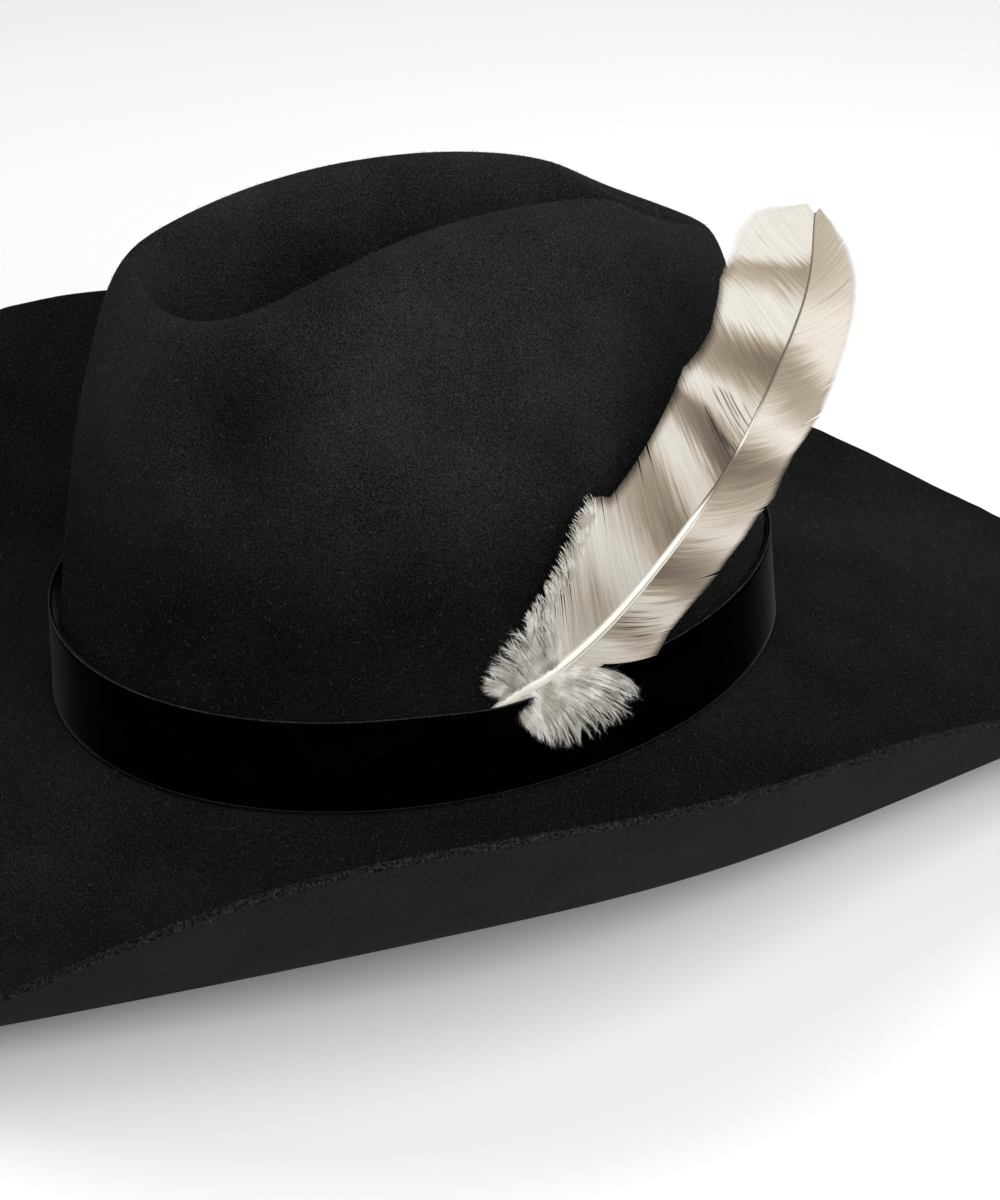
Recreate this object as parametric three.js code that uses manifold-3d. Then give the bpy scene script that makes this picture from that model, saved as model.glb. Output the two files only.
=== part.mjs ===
// A wide-brimmed western hat of black fur felt, resting on a table as it would by itself.
// The felt is one piece, crown and brim. A velvet ribbon goes round the foot of the crown, and a
// barred feather is tucked under the ribbon. Millimetres, +Z up, the front of the hat towards -Y,
// the wearer's right on -X. The origin is on the table, under the middle of the hat.

import * as THREE from 'three';
import Module from 'manifold-3d';
import { mergeVertices } from 'three/addons/utils/BufferGeometryUtils.js';

const wasm = await Module();
wasm.setup();

// Driving sizes
const FELT_THICKNESS = 2.2;
const GAP = 0.3;                    // between the shaft and its vanes
const BREAK_HEIGHT = 33.6;          // where the crown meets the brim, above the table
const OVAL_HALF_WIDTH = 82.3;       // outside of the felt at the foot of the crown
const OVAL_HALF_LENGTH = 99.3;
const OVAL_EGG = 0.05;              // how much wider the oval is behind the ears
const RIBBON_HEIGHT = 25.4;
const RIBBON_THICKNESS = 1.2;
const RIBBON_STANDOFF = 0.5;        // from the felt's foot to the ribbon's inner side
const RIBBON_LEAN = 1.2;            // how far its top edge stands in from its foot
const FEATHER_LENGTH = 149;         // from the ribbon's top edge to the tip
const VANE_THICKNESS = 0.8;

// Crown sections, from the front (0) round to the back (180), the same on both sides. The ridge
// is the highest line of the crown, height is above the break, taper is how far the wall leans in
// before it rounds over, and crease is how deep the hollow between the ridges is.
const CROWN = [
  { angle: 0, ridgeX: 0, ridgeY: -84.5, height: 104, taper: 3, fullness: 3.2, crease: 0 },
  { angle: 30, ridgeX: 8, ridgeY: -67.5, height: 112.2, taper: 8.5, fullness: 2.7, crease: 0 },
  { angle: 60, ridgeX: 13.8, ridgeY: -53, height: 122.2, taper: 8.5, fullness: 2.3, crease: 7 },
  { angle: 90, ridgeX: 22.1, ridgeY: -17.4, height: 129.1, taper: 9.8, fullness: 2.2, crease: 20 },
  { angle: 120, ridgeX: 27.9, ridgeY: 27, height: 125.4, taper: 9.2, fullness: 2.3, crease: 27 },
  { angle: 150, ridgeX: 28.7, ridgeY: 58, height: 118.6, taper: 12.3, fullness: 2.2, crease: 15 },
  { angle: 180, ridgeX: 0, ridgeY: 68, height: 115.5, taper: 14.4, fullness: 2.3, crease: 0 },
];

// Hollows pressed into the crown by hand, on both sides. Rise, below and above are shares of the
// crown's height: where the middle is, and how far the hollow goes down and up from it. Reach is
// how many degrees it goes round to each side.
const HOLLOWS = [
  { angle: 77, rise: 0.84, depth: 8, reach: 45, below: 0.18, above: 0.12 },
  { angle: 141, rise: 0.81, depth: 4.5, reach: 15, below: 0.16, above: 0.12 },
];

// Brim sections, from the front round to the back. Reach is the way out from the crown, edge the
// height of the cut edge against the break, dip how low the brim sags on the way, and roll how
// late it turns up or down.
const BRIM = [
  { angle: 0, reach: 111, edge: -37.5, dip: -2, roll: 1.6 },
  { angle: 30, reach: 109, edge: -23, dip: -13, roll: 2.2 },
  { angle: 60, reach: 81, edge: 16, dip: -20, roll: 2.6 },
  { angle: 90, reach: 87, edge: 40, dip: -12, roll: 2.6 },
  { angle: 120, reach: 98, edge: 39.5, dip: -13.5, roll: 2.8 },
  { angle: 150, reach: 111, edge: -11.5, dip: -18, roll: 1.5 },
  { angle: 180, reach: 111, edge: -37.5, dip: -2, roll: 1.6 },
];

// The feather's shaft, from its end under the ribbon to its tip, from the middle of the break.
const SHAFT = [
  { x: -80.6, y: 22, z: 17.5, width: 2.0, thickness: 1.1 },
  { x: -80.9, y: 10.8, z: 25.2, width: 3.2, thickness: 2.4 },
  { x: -83.7, y: 2, z: 30.2, width: 3.3, thickness: 2.8 },
  { x: -85.1, y: -13.6, z: 40.6, width: 3.0, thickness: 2.6 },
  { x: -84.9, y: -35.9, z: 60.7, width: 2.4, thickness: 2.1 },
  { x: -84.0, y: -51.8, z: 78.7, width: 2.0, thickness: 1.7 },
  { x: -82.0, y: -67.0, z: 102.0, width: 1.5, thickness: 1.3 },
  { x: -80.0, y: -75.4, z: 119.0, width: 1.2, thickness: 1.0 },
  { x: -78.0, y: -78.4, z: 136.4, width: 0.9, thickness: 0.8 },
];

// Widths of the two vanes, at distances from the ribbon's top edge. Rear is the side towards the
// crown's back, front the side towards its front.
const REAR_VANE = [
  { at: 24, width: 18.5 }, { at: 35, width: 21.5 }, { at: 46, width: 25 }, { at: 53, width: 26.5 },
  { at: 57, width: 22.6 }, { at: 80, width: 22.8 }, { at: 99, width: 23.6 }, { at: 112, width: 21.6 },
  { at: 127, width: 23.6 }, { at: 136, width: 22.5 }, { at: 144.5, width: 20 }, { at: 148.5, width: 16.5 },
  { at: 150, width: 11 },
];
const FRONT_VANE = [
  { at: 27, width: 20 }, { at: 32, width: 21.5 }, { at: 40, width: 18.2 }, { at: 62, width: 18.4 },
  { at: 80, width: 19.4 }, { at: 90, width: 18.2 }, { at: 102, width: 20.6 }, { at: 120, width: 19.2 },
  { at: 133, width: 14.8 }, { at: 140, width: 10.5 }, { at: 146, width: 5.6 }, { at: 149, width: 2.6 },
];

// Where the downy locks at the feather's root end, one row for each lock.
const REAR_DOWN = {
  x: -83.6, headY: 5.2, headZ: 35.2, headLength: 18, headWidth: 8,
  locks: [
    { y: 19.5, z: 30.5 }, { y: 18.5, z: 34.5 }, { y: 16.5, z: 38.5 }, { y: 13.5, z: 42 },
    { y: 9.5, z: 45.5 }, { y: 5.5, z: 49.5 },
  ],
};
const FRONT_DOWN = {
  x: -86.7, headY: -1.5, headZ: 28.8, headLength: 19, headWidth: 7,
  locks: [
    { y: -21.5, z: 18.5 }, { y: -17, z: 14.5 }, { y: -12, z: 12.5 }, { y: -6, z: 11 },
    { y: -0.5, z: 11.5 }, { y: 4.5, z: 13.5 }, { y: 9, z: 18.5 },
  ],
};

const BLACK_FELT = new THREE.MeshStandardMaterial({ color: 0x151515, roughness: 0.95, metalness: 0 });
const BLACK_VELVET = new THREE.MeshStandardMaterial({ color: 0x050507, roughness: 1, metalness: 0 });
const QUILL = new THREE.MeshStandardMaterial({ color: 0xe8dcc6, roughness: 0.45, metalness: 0 });
const BARBS = new THREE.MeshStandardMaterial({ color: 0xbfae9a, roughness: 0.8, metalness: 0 });
const DOWN = new THREE.MeshStandardMaterial({ color: 0xd8d2c8, roughness: 0.95, metalness: 0 });

const radians = THREE.MathUtils.degToRad;
const clamp = THREE.MathUtils.clamp;

// A smooth wave through one column of an evenly spaced table: cosines where the column is the
// same on both sides of the hat, sines where it changes sign.
function wave(rows, column, changesSign = false) {
  const last = rows.length - 1;
  const turn = changesSign ? Math.sin : Math.cos;
  const weight = (j) => (j === 0 || j === last ? 0.5 : 1);
  const strengths = rows.map((_, k) => {
    const sum = rows.reduce((s, row, j) => s + weight(j) * row[column] * turn(Math.PI * j * k / last), 0);
    return 2 / last * sum * (changesSign ? 1 : weight(k));
  });
  return (angle) => strengths.reduce((s, strength, k) => s + strength * turn(k * angle), 0);
}

const crown = Object.fromEntries(['ridgeY', 'height', 'taper', 'fullness', 'crease']
  .map((column) => [column, wave(CROWN, column)]));
crown.ridgeX = wave(CROWN, 'ridgeX', true);
const brim = Object.fromEntries(['reach', 'edge', 'dip', 'roll'].map((column) => [column, wave(BRIM, column)]));

// The oval of the head at an angle from the front, grown outwards by some millimetres.
function oval(angle, grow = 0) {
  const x = OVAL_HALF_WIDTH * Math.sin(angle) * (1 - OVAL_EGG * Math.cos(angle));
  const y = -OVAL_HALF_LENGTH * Math.cos(angle);
  const scale = 1 + grow / Math.hypot(x, y);
  return [x * scale, y * scale];
}

// A point on the crown's outer wall, from its foot (0) to the ridge (1).
function wallPoint(angle, rise) {
  const [footX, footY] = oval(angle);
  const acrossX = crown.ridgeX(angle) - footX;
  const acrossY = crown.ridgeY(angle) - footY;
  const way = Math.hypot(acrossX, acrossY);
  const taper = crown.taper(angle) / way;
  const fullness = crown.fullness(angle);
  const round = 1 - Math.pow(Math.max(1 - Math.pow(rise, fullness), 0), 1 / fullness);
  const lean = taper * rise + (1 - taper) * round;
  const fromFront = Math.abs(Math.atan2(Math.sin(angle), Math.cos(angle)));
  const press = HOLLOWS.reduce((sum, hollow) => {
    const roundIt = (fromFront - radians(hollow.angle)) / radians(hollow.reach);
    const upIt = (rise - hollow.rise) / (rise < hollow.rise ? hollow.below : hollow.above);
    return sum + hollow.depth * Math.exp(-((roundIt ** 2 + upIt ** 2) ** 2));
  }, 0);
  return [
    footX + acrossX * (lean + press / way),
    footY + acrossY * (lean + press / way),
    crown.height(angle) * rise - press,
  ];
}

// A point on the brim's upper side, from the break (0) to the cut edge (1). Where the brim would
// go below the table it lies on it instead.
const BRIM_START = 2.4;             // where the fillet at the break ends
const BRIM_SINK = 1;                // the brim starts this far below the ribbon's foot
const TABLE_SOFTNESS = 1.5;
const TABLE_PRESS = 0.4;            // how much the felt is pressed together where it lies
function brimPoint(angle, out) {
  const [startX, startY] = oval(angle, BRIM_START);
  const start = Math.hypot(startX, startY);
  const reach = (brim.reach(angle) - BRIM_START) * out;
  const curve = brim.edge(angle) * Math.pow(out, brim.roll(angle)) + 4 * out * (1 - out) * brim.dip(angle);
  const lowest = FELT_THICKNESS - TABLE_PRESS - BREAK_HEIGHT;
  const z = curve - BRIM_SINK * (1 - out);
  const rest = lowest + TABLE_SOFTNESS * Math.log1p(Math.exp((z - lowest) / TABLE_SOFTNESS));
  return [startX * (1 + reach / start), startY * (1 + reach / start), rest];
}

// A closed mesh from points and triangles.
function solid(points, triangles) {
  const geometry = new THREE.BufferGeometry();
  geometry.setAttribute('position', new THREE.Float32BufferAttribute(points.flat(), 3));
  geometry.setIndex(triangles.flat());
  return geometry;
}

// Triangles between two rings of the same number of points.
function band(lower, upper) {
  return lower.flatMap((a, i) => {
    const j = (i + 1) % lower.length;
    return [[a, lower[j], upper[j]], [a, upper[j], upper[i]]];
  });
}

// The felt: rings from the brim's edge up to the ridge and rows across the top, given its
// thickness along the surface's own direction.
const COLUMNS = 60;
const BRIM_STEPS = [1, 0.975, 0.93, 0.87, 0.79, 0.69, 0.57, 0.44, 0.3, 0.15, 0];
const FILLET = [{ grow: 1.1, lift: -1 }, { grow: 0.25, lift: -0.3 }];
const WALL_STEPS = 13;
const TOP_STEPS = 8;

function feltGeometry() {
  const points = [];
  const triangles = [];
  const columnAngle = (i) => 2 * Math.PI * i / COLUMNS;
  const addRing = (at) => Array.from({ length: COLUMNS }, (_, i) => points.push(at(columnAngle(i))) - 1);

  const rings = BRIM_STEPS.map((out) => addRing((angle) => brimPoint(angle, out)));
  FILLET.forEach(({ grow, lift }) => rings.push(addRing((angle) => [...oval(angle, grow), lift])));
  for (let k = 1; k <= WALL_STEPS; k += 1) {
    const rise = Math.sin(Math.PI / 2 * k / WALL_STEPS);
    rings.push(addRing((angle) => wallPoint(angle, rise)));
  }
  for (let k = 0; k + 1 < rings.length; k += 1) triangles.push(...band(rings[k], rings[k + 1]));

  // The top, in rows from one ridge across to the other, sinking into the crease between them
  const ridge = rings.at(-1);
  const half = COLUMNS / 2;
  const rows = [[ridge[0]]];
  for (let i = 1; i < half; i += 1) {
    const angle = columnAngle(i);
    const row = [ridge[i]];
    const [x, y, z] = points[ridge[i]];
    for (let j = 1; j < TOP_STEPS; j += 1) {
      const side = 1 - 2 * j / TOP_STEPS;
      const inward = 1 - Math.abs(side);
      const sink = Math.max(crown.crease(angle), 0) * inward * inward * (3 - 2 * inward);
      row.push(points.push([x * side, y, z - sink]) - 1);
    }
    row.push(ridge[COLUMNS - i]);
    rows.push(row);
  }
  rows.push([ridge[half]]);
  for (let i = 0; i < half; i += 1) {
    const near = rows[i];
    const far = rows[i + 1];
    for (let j = 0; j < TOP_STEPS; j += 1) {
      const [a, b] = [near[Math.min(j, near.length - 1)], near[Math.min(j + 1, near.length - 1)]];
      const [c, d] = [far[Math.min(j, far.length - 1)], far[Math.min(j + 1, far.length - 1)]];
      if (a !== b) triangles.push([a, d, b]);
      if (c !== d) triangles.push([a, c, d]);
    }
  }

  // The underside, one felt thickness in, pressed flat where it meets the table
  const outer = solid(points, triangles);
  outer.computeVertexNormals();
  const normals = outer.getAttribute('normal');
  const count = points.length;
  for (let i = 0; i < count; i += 1) {
    const [x, y, z] = points[i];
    points.push([
      x - normals.getX(i) * FELT_THICKNESS,
      y - normals.getY(i) * FELT_THICKNESS,
      Math.max(z - normals.getZ(i) * FELT_THICKNESS, -BREAK_HEIGHT),
    ]);
  }
  const under = triangles.map(([a, b, c]) => [count + a, count + c, count + b]);
  const edge = rings[0];
  return solid(points, [...triangles, ...under, ...band(edge.map((i) => count + i), edge)]);
}

// The ribbon: a closed band that stands almost upright, pushed out where the quill lies under it.
const RIBBON_COLUMNS = 72;
const QUILL_BULGE = 2.2;
const QUILL_BULGE_REACH = 13;       // along the band, to each side of the quill
const QUILL_SEAT = { y: 15, from: 6, to: 18 };
const RIBBON_ROWS = [0, 0.3, 0.6, 1];

function ribbonPoint(angle, rise, inwards) {
  const [, y] = oval(angle);
  const near = Math.exp(-(((y - QUILL_SEAT.y) / QUILL_BULGE_REACH) ** 2));
  const height = THREE.MathUtils.smoothstep(rise * RIBBON_HEIGHT, QUILL_SEAT.from, QUILL_SEAT.to);
  const bulge = Math.sin(angle) < 0 ? QUILL_BULGE * near * height : 0;
  const grow = RIBBON_STANDOFF + RIBBON_THICKNESS - RIBBON_LEAN * rise + bulge - inwards * RIBBON_THICKNESS;
  return [...oval(angle, grow), rise * RIBBON_HEIGHT];
}

function ribbonGeometry() {
  const points = [];
  const outline = [
    ...RIBBON_ROWS.map((rise) => [rise, 0]),
    ...RIBBON_ROWS.toReversed().map((rise) => [rise, 1]),
  ];
  const rings = outline.map(([rise, inwards]) => Array.from({ length: RIBBON_COLUMNS }, (_, i) => (
    points.push(ribbonPoint(2 * Math.PI * i / RIBBON_COLUMNS, rise, inwards)) - 1)));
  const triangles = rings.flatMap((ring, k) => band(ring, rings[(k + 1) % rings.length]));
  return solid(points, triangles);
}

// The feather's own directions at a distance from the ribbon's top edge: along the shaft, out
// from the hat, and across towards the front.
const shaftLine = new THREE.CatmullRomCurve3(SHAFT.map(({ x, y, z }) => new THREE.Vector3(x, y, z)), false, 'centripetal');
shaftLine.arcLengthDivisions = 400;
const SHAFT_START = shaftLine.getLength() - FEATHER_LENGTH;    // hidden under the ribbon
const OUTWARDS = new THREE.Vector3(-1, 0, 0);

function featherFrame(at) {
  const share = clamp((at + SHAFT_START) / shaftLine.getLength(), 0, 1);
  const along = shaftLine.getTangentAt(share);
  const centre = shaftLine.getPointAt(share).addScaledVector(along, Math.max(at - FEATHER_LENGTH, 0));
  const out = OUTWARDS.clone().addScaledVector(along, -OUTWARDS.dot(along)).normalize();
  const across = new THREE.Vector3().crossVectors(along, out);
  return { centre, along, out, across, share };
}

// A column of the shaft's table at a distance along it.
function shaftSize(column, share) {
  const t = shaftLine.getUtoTmapping(share) * (SHAFT.length - 1);
  const i = Math.min(Math.floor(t), SHAFT.length - 2);
  return THREE.MathUtils.lerp(SHAFT[i][column], SHAFT[i + 1][column], t - i);
}

const SHAFT_SIDES = 8;
const SHAFT_STEPS = 22;

function shaftGeometry() {
  const points = [];
  const rings = [];
  for (let k = 0; k <= SHAFT_STEPS; k += 1) {
    const at = THREE.MathUtils.lerp(-SHAFT_START, FEATHER_LENGTH, k / SHAFT_STEPS);
    const { centre, out, across, share } = featherFrame(at);
    const [wide, thick] = ['width', 'thickness'].map((column) => shaftSize(column, share) / 2);
    rings.push(Array.from({ length: SHAFT_SIDES }, (_, i) => {
      const turn = 2 * Math.PI * i / SHAFT_SIDES;
      const point = centre.clone().addScaledVector(out, thick * Math.cos(turn))
        .addScaledVector(across, wide * Math.sin(turn));
      return points.push(point.toArray()) - 1;
    }));
  }
  const triangles = rings.slice(1).flatMap((ring, k) => band(rings[k], ring));
  const start = points.push(featherFrame(-SHAFT_START).centre.toArray()) - 1;
  const tip = points.push(featherFrame(FEATHER_LENGTH).centre.toArray()) - 1;
  rings[0].forEach((a, i) => triangles.push([start, rings[0][(i + 1) % SHAFT_SIDES], a]));
  rings.at(-1).forEach((a, i) => triangles.push([tip, a, rings.at(-1)[(i + 1) % SHAFT_SIDES]]));
  return solid(points, triangles);
}

function widthAt(rows, at) {
  const i = clamp(rows.findIndex((row) => row.at > at) - 1, 0, rows.length - 2);
  if (at >= rows.at(-1).at) return rows.at(-1).width;
  return THREE.MathUtils.mapLinear(at, rows[i].at, rows[i + 1].at, rows[i].width, rows[i + 1].width);
}

// A vane: a thin cambered sheet beside the shaft, side -1 towards the back and 1 towards the front.
const VANE_STEPS = 32;
const VANE_ROWS = 4;
const VANE_CAMBER = 3;

function vaneGeometry(rows, side) {
  const points = [];
  const faces = [1, -1].map((face) => Array.from({ length: VANE_STEPS + 1 }, (_, k) => {
    const at = THREE.MathUtils.lerp(rows[0].at, rows.at(-1).at, k / VANE_STEPS);
    const { centre, out, across, share } = featherFrame(at);
    const inner = shaftSize('width', share) / 2 + GAP;
    return Array.from({ length: VANE_ROWS + 1 }, (_, j) => {
      const reach = THREE.MathUtils.lerp(inner, widthAt(rows, at), j / VANE_ROWS);
      const camber = -VANE_CAMBER * (j / VANE_ROWS) ** 2;
      const point = centre.clone().addScaledVector(across, side * reach)
        .addScaledVector(out, camber + face * VANE_THICKNESS / 2);
      return points.push(point.toArray()) - 1;
    });
  }));
  const triangles = [];
  const quad = (a, b, c, d) => triangles.push([a, b, c], [a, c, d]);
  const [front, back] = faces;
  for (let k = 0; k < VANE_STEPS; k += 1) {
    for (let j = 0; j < VANE_ROWS; j += 1) {
      quad(front[k][j], front[k][j + 1], front[k + 1][j + 1], front[k + 1][j]);
      quad(back[k][j], back[k + 1][j], back[k + 1][j + 1], back[k][j + 1]);
    }
    quad(front[k][0], front[k + 1][0], back[k + 1][0], back[k][0]);
    quad(front[k][VANE_ROWS], back[k][VANE_ROWS], back[k + 1][VANE_ROWS], front[k + 1][VANE_ROWS]);
  }
  for (let j = 0; j < VANE_ROWS; j += 1) {
    quad(front[0][j], back[0][j], back[0][j + 1], front[0][j + 1]);
    const [lastFront, lastBack] = [front.at(-1), back.at(-1)];
    quad(lastFront[j], lastFront[j + 1], lastBack[j + 1], lastBack[j]);
  }
  return solid(points, side > 0 ? triangles : triangles.map(([a, b, c]) => [a, c, b]));
}

// Down: a flat head beside the quill with leaf-shaped locks fused to it.
const DOWN_AT = 12;                 // where the heads lie, from the ribbon's top edge
const HEAD_THICKNESS = 1.8;
const HEAD_SIDES = 14;
const HEAD_RINGS = 8;
const WELD = 1e-4;
const LOCK_WIDTH = 5.4;
const LOCK_THICKNESS = 1.5;
const LOCK_SIDES = 6;
const LOCK_OUTLINE = [[0, 0], [0.36, 0.2], [0.5, 0.45], [0.36, 0.75], [0, 1]];

function toManifold(geometry) {
  const bare = geometry.clone();
  bare.deleteAttribute('normal');
  bare.deleteAttribute('uv');
  const merged = mergeVertices(bare, WELD);
  return new wasm.Manifold(new wasm.Mesh({
    numProp: 3,
    vertProperties: Float32Array.from(merged.getAttribute('position').array),
    triVerts: Uint32Array.from(merged.getIndex().array),
  }));
}

function downGeometry({ x, headY, headZ, headLength, headWidth, locks }) {
  const quill = featherFrame(DOWN_AT);
  const head = new THREE.SphereGeometry(0.5, HEAD_SIDES, HEAD_RINGS);
  head.scale(HEAD_THICKNESS, headLength, headWidth);
  head.rotateX(Math.atan2(quill.along.z, quill.along.y));
  head.translate(x, headY, headZ);
  let down = toManifold(head);
  locks.forEach(({ y, z }) => {
    const way = new THREE.Vector3(0, y - headY, z - headZ);
    const lock = new THREE.LatheGeometry(LOCK_OUTLINE.map(([r, h]) => new THREE.Vector2(r, h)), LOCK_SIDES);
    lock.scale(LOCK_THICKNESS, way.length(), LOCK_WIDTH);
    lock.rotateX(Math.atan2(way.z, way.y));
    lock.translate(x, headY, headZ);
    down = down.add(toManifold(lock));
  });
  const { vertProperties, triVerts } = down.getMesh();
  const fused = new THREE.BufferGeometry();
  fused.setAttribute('position', new THREE.BufferAttribute(vertProperties, 3));
  fused.setIndex(new THREE.BufferAttribute(triVerts, 1));
  return fused;
}

const group = new THREE.Group();
group.position.z = BREAK_HEIGHT;

function addPiece(name, geometry, material) {
  const mesh = new THREE.Mesh(geometry, material);
  mesh.name = name;
  group.add(mesh);
}

addPiece('felt_body', feltGeometry(), BLACK_FELT);
addPiece('ribbon_band', ribbonGeometry(), BLACK_VELVET);
addPiece('feather_shaft', shaftGeometry(), QUILL);
addPiece('feather_vane_rear', vaneGeometry(REAR_VANE, -1), BARBS);
addPiece('feather_vane_front', vaneGeometry(FRONT_VANE, 1), BARBS);
addPiece('feather_down_rear', downGeometry(REAR_DOWN), DOWN);
addPiece('feather_down_front', downGeometry(FRONT_DOWN), DOWN);

export default group;
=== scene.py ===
# A black fur-felt western hat with a velvet ribbon and a barred feather, resting on a pale table.
# The file follows the hat as it is put together: the table and the light, the felt and its nap,
# the ribbon with its ribbed edges, and the feather from its quill to its down.

import math

import bpy
import numpy as np
from mathutils import Matrix, Vector


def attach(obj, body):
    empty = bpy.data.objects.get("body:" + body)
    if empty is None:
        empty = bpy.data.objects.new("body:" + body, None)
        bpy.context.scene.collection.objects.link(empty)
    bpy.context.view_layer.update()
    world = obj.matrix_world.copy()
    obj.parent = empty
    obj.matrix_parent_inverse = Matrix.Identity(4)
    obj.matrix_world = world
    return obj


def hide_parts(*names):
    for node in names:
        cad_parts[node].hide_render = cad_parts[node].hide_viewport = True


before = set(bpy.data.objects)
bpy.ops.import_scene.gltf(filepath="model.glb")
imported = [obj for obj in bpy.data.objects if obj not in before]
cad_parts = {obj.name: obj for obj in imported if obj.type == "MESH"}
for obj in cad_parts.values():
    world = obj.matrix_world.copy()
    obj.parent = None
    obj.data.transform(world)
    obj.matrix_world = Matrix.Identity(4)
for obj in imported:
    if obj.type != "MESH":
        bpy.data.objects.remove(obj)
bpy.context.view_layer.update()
scene = bpy.context.scene

# Camera
# It looks down on the wearer's right and a little from behind, as a catalogue picture does, with
# a long lens. The small shift puts the hat where it stands in the frame.
AZIMUTH = math.radians(244.6)
ELEVATION = math.radians(27.9)
ROLL = math.radians(-2.0)
TARGET = Vector((0.0, -0.0423, 0.0468))
DISTANCE = 1.049
IMAGE_WIDTH, IMAGE_HEIGHT = 1000, 1200
FOCAL_PIXELS = 3827
CENTRE_PIXEL = (558.4, 559.5)
SENSOR = 36.0

back = Vector((math.sin(AZIMUTH) * math.cos(ELEVATION), -math.cos(AZIMUTH) * math.cos(ELEVATION),
               math.sin(ELEVATION)))
level = Vector((math.cos(AZIMUTH), math.sin(AZIMUTH), 0.0))
upright = back.cross(level)
right = level * math.cos(ROLL) + upright * math.sin(ROLL)
up = upright * math.cos(ROLL) - level * math.sin(ROLL)

camera = bpy.data.objects.new("camera", bpy.data.cameras.new("camera"))
scene.collection.objects.link(camera)
placed = Matrix((right, up, back)).transposed().to_4x4()
placed.translation = TARGET + back * DISTANCE
camera.matrix_world = placed
camera.data.sensor_width = SENSOR
camera.data.lens = FOCAL_PIXELS * SENSOR / IMAGE_HEIGHT
camera.data.shift_x = -(CENTRE_PIXEL[0] - IMAGE_WIDTH / 2) / IMAGE_HEIGHT
camera.data.shift_y = (CENTRE_PIXEL[1] - IMAGE_HEIGHT / 2) / IMAGE_HEIGHT
scene.camera = camera
scene.view_settings.view_transform = "Standard"


# Table and studio light
# A plain white table top, lit by two large soft boxes on the camera's side, one high and one low,
# and by two weaker ones, one behind the hat and one over it.
class Field:
    """One socket of a node tree. Signs between fields add Math nodes, node() adds any other."""

    def __init__(self, tree, socket=None):
        self.tree = tree
        self.socket = socket

    def node(self, kind, settings=None, inputs=None, output=0):
        new = self.tree.nodes.new(kind)
        for name, value in (settings or {}).items():
            if name == "stops":
                ramp = new.color_ramp.elements
                while len(ramp) < len(value):
                    ramp.new(1.0)
                for stop, (place, shade) in zip(ramp, value):
                    stop.position = place
                    stop.color = shade if isinstance(shade, tuple) else (shade, shade, shade, 1.0)
            else:
                setattr(new, name, value)
        for name, value in (inputs or {}).items():
            if isinstance(value, Field):
                self.tree.links.new(value.socket, new.inputs[name])
            else:
                new.inputs[name].default_value = value
        return Field(self.tree, new.outputs[output]) if len(new.outputs) else None

    def out(self, name):
        return Field(self.tree, self.socket.node.outputs[name])

    def sign(self, operation, first, second):
        return self.node("ShaderNodeMath", {"operation": operation}, {0: first, 1: second})

    def __add__(self, other):
        return self.sign("ADD", self, other)

    __radd__ = __add__

    def __sub__(self, other):
        return self.sign("SUBTRACT", self, other)

    def __rsub__(self, other):
        return self.sign("SUBTRACT", other, self)

    def __mul__(self, other):
        return self.sign("MULTIPLY", self, other)

    def between(self, low, high):
        """0 below low, 1 above high, smooth on the way."""
        return self.node("ShaderNodeMapRange", {"interpolation_type": "SMOOTHSTEP"},
                         {"Value": self, "From Min": low, "From Max": high})

    def blend(self, first, second):
        """The first colour where this field is 0, the second where it is 1."""
        return self.node("ShaderNodeMix", {"data_type": "RGBA"}, {0: self, 6: first, 7: second}, 2)


def new_finish(name):
    """A material with an empty tree, and a field to start its nodes from."""
    material = bpy.data.materials.new(name)
    material.use_nodes = True
    material.node_tree.nodes.clear()
    return material, Field(material.node_tree)


def close_finish(start, look):
    """Ends a material with one surface, whose look is given by its inputs."""
    surface = start.node("ShaderNodeBsdfPrincipled", {}, look)
    start.node("ShaderNodeOutputMaterial", {}, {"Surface": surface})


TABLE_REACH = 9.0
TABLE_COLOUR = (0.9, 0.9, 0.895, 1.0)
ROOM_COLOUR = (1.0, 1.0, 1.0, 1.0)
ROOM_STRENGTH = 0.06
SOFT_BOXES = [
    {"name": "high_box", "place": (-1.2, -0.3, 1.4), "size": 1.3, "power": 24.0},
    {"name": "low_box", "place": (-1.9, 0.2, 1.1), "size": 1.3, "power": 38.0},
    {"name": "back_box", "place": (0.9, 0.9, 1.4), "size": 1.3, "power": 12.0},
    {"name": "rim_box", "place": (0.3, -0.2, 0.8), "size": 0.6, "power": 2.6},
]

table_mesh = bpy.data.meshes.new("table_top")
table_mesh.from_pydata([(x * TABLE_REACH, y * TABLE_REACH, 0.0)
                        for x, y in ((-1, -1), (1, -1), (1, 1), (-1, 1))], [], [(0, 1, 2, 3)])
table_top = bpy.data.objects.new("table_top", table_mesh)
scene.collection.objects.link(table_top)
table_paint, start = new_finish("table_white")
close_finish(start, {"Base Color": TABLE_COLOUR, "Roughness": 0.75})
table_mesh.materials.append(table_paint)

room = bpy.data.worlds.new("room")
room.use_nodes = True
room.node_tree.nodes["Background"].inputs["Color"].default_value = ROOM_COLOUR
room.node_tree.nodes["Background"].inputs["Strength"].default_value = ROOM_STRENGTH
scene.world = room
for box in SOFT_BOXES:
    lamp = bpy.data.lights.new(box["name"], "AREA")
    lamp.size = box["size"]
    lamp.energy = box["power"]
    lamp_object = bpy.data.objects.new(box["name"], lamp)
    lamp_object.location = box["place"]
    lamp_object.rotation_euler = (TARGET - Vector(box["place"])).to_track_quat("-Z", "Y").to_euler()
    scene.collection.objects.link(lamp_object)

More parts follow.
